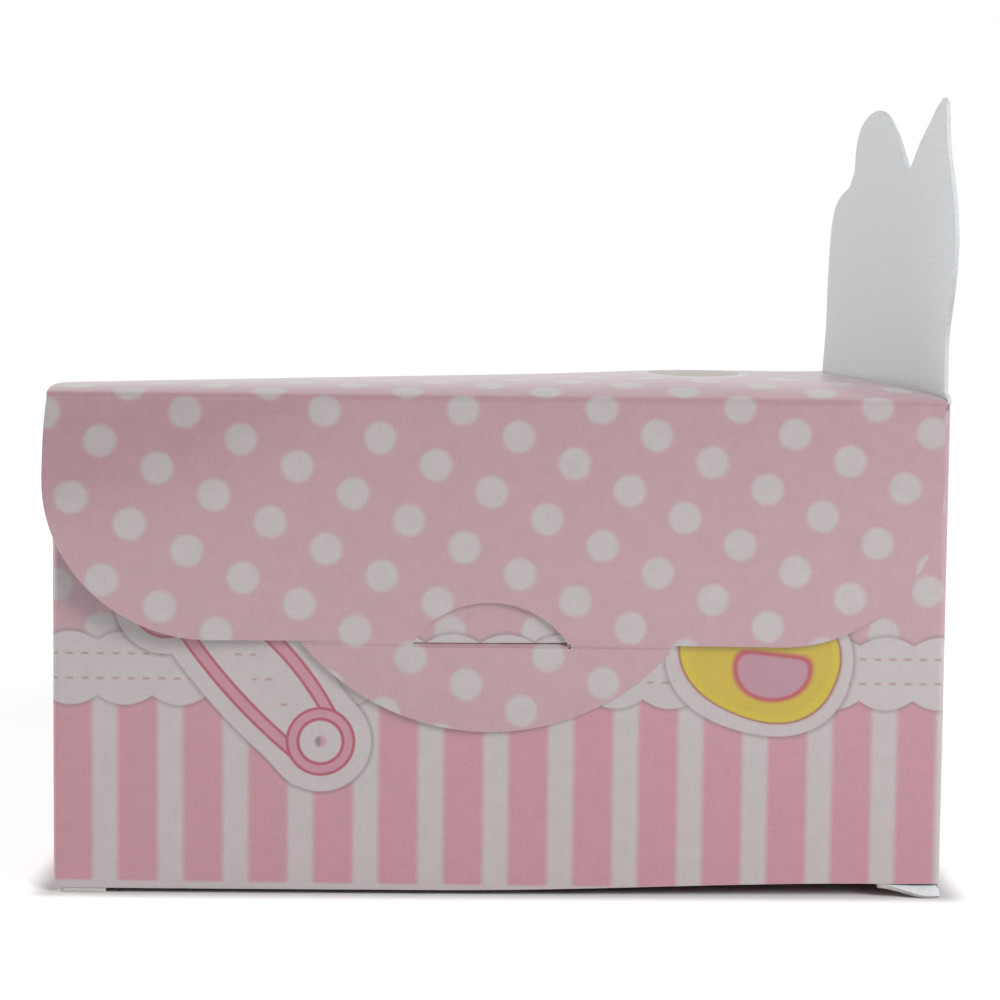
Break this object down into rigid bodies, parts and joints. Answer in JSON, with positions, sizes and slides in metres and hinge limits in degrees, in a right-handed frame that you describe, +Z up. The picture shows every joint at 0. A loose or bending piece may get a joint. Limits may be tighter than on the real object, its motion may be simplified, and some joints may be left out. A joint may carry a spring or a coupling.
{
  "type": "favor box",
  "caption": "Small folding carton for party favors, with a lid that closes by a tongue and lock tab, a tuck-in base and a die-cut figure standing at one side.",
  "frame": {"origin": "centre of the base's footprint, on the surface that the box stands on", "axes": "+Z up, +Y from the front panel to the back panel, +X to the right when the front panel is faced"},
  "size_m": [0.0903, 0.1004, 0.083],
  "materials": {
    "front_print": "satin printed board, striped below a scalloped band",
    "wall_print": "satin printed board",
    "dotted_print": "satin printed board with polka dots",
    "tongue_print": "satin printed board",
    "figure_board": "printed outside, uncoated white inside",
    "plain_board": "uncoated white"
  },
  "bodies": {
    "carton": {"front_wall": "front_print", "back_wall": "wall_print", "left_wall": "wall_print", "right_wall": "wall_print", "popup_figure": "figure_board", "glue_tab": "plain_board"},
    "lid": {"lid_panel": "dotted_print"},
    "flap": {"closure_flap": "dotted_print"},
    "tongue": {"lock_tongue": "tongue_print", "lock_tab": "tongue_print"},
    "top_dust": {"top_dust_flap": "plain_board"},
    "base": {"bottom_panel": "wall_print"},
    "tuck": {"bottom_tuck_flap": "plain_board"},
    "dust_left": {"bottom_dust_flap_left": "plain_board"},
    "dust_right": {"bottom_dust_flap_right": "plain_board"}
  },
  "joints": [
    {"name": "lid_crease", "type": "hinge", "parent": "carton", "child": "lid", "pos_m": [0, 0.048, 0.0502], "axis": [-1, 0, 0], "range_deg": [0, 120]},
    {"name": "flap_crease", "type": "hinge", "parent": "lid", "child": "flap", "pos_m": [0, -0.0487, 0.0502], "axis": [-1, 0, 0], "range_deg": [0, 90]},
    {"name": "tongue_crease", "type": "hinge", "parent": "flap", "child": "tongue", "pos_m": [0, -0.0487, 0.0259], "axis": [-1, 0, 0], "range_deg": [0, 60], "deforming": ["lock_tab"]},
    {"name": "top_dust_crease", "type": "hinge", "parent": "carton", "child": "top_dust", "pos_m": [-0.045, 0, 0.0495], "axis": [0, -1, 0], "range_deg": [0, 90]},
    {"name": "base_crease", "type": "hinge", "parent": "carton", "child": "base", "pos_m": [0, 0.048, 0], "axis": [1, 0, 0], "range_deg": [0, 120]},
    {"name": "tuck_crease", "type": "hinge", "parent": "base", "child": "tuck", "pos_m": [0, -0.0468, 0], "axis": [1, 0, 0], "range_deg": [0, 60]},
    {"name": "dust_left_crease", "type": "hinge", "parent": "carton", "child": "dust_left", "pos_m": [-0.045, 0, 0.0007], "axis": [0, 1, 0], "range_deg": [0, 90]},
    {"name": "dust_right_crease", "type": "hinge", "parent": "carton", "child": "dust_right", "pos_m": [0.045, 0, 0.0007], "axis": [0, -1, 0], "range_deg": [0, 90]}
  ],
  "couplings": [
    {"joint": "top_dust_crease", "follows": "lid_crease", "ratio": 0.75},
    {"joint": "tuck_crease", "follows": "base_crease", "ratio": 0.5},
    {"joint": "dust_left_crease", "follows": "base_crease", "ratio": 0.75},
    {"joint": "dust_right_crease", "follows": "base_crease", "ratio": 0.75}
  ]
}
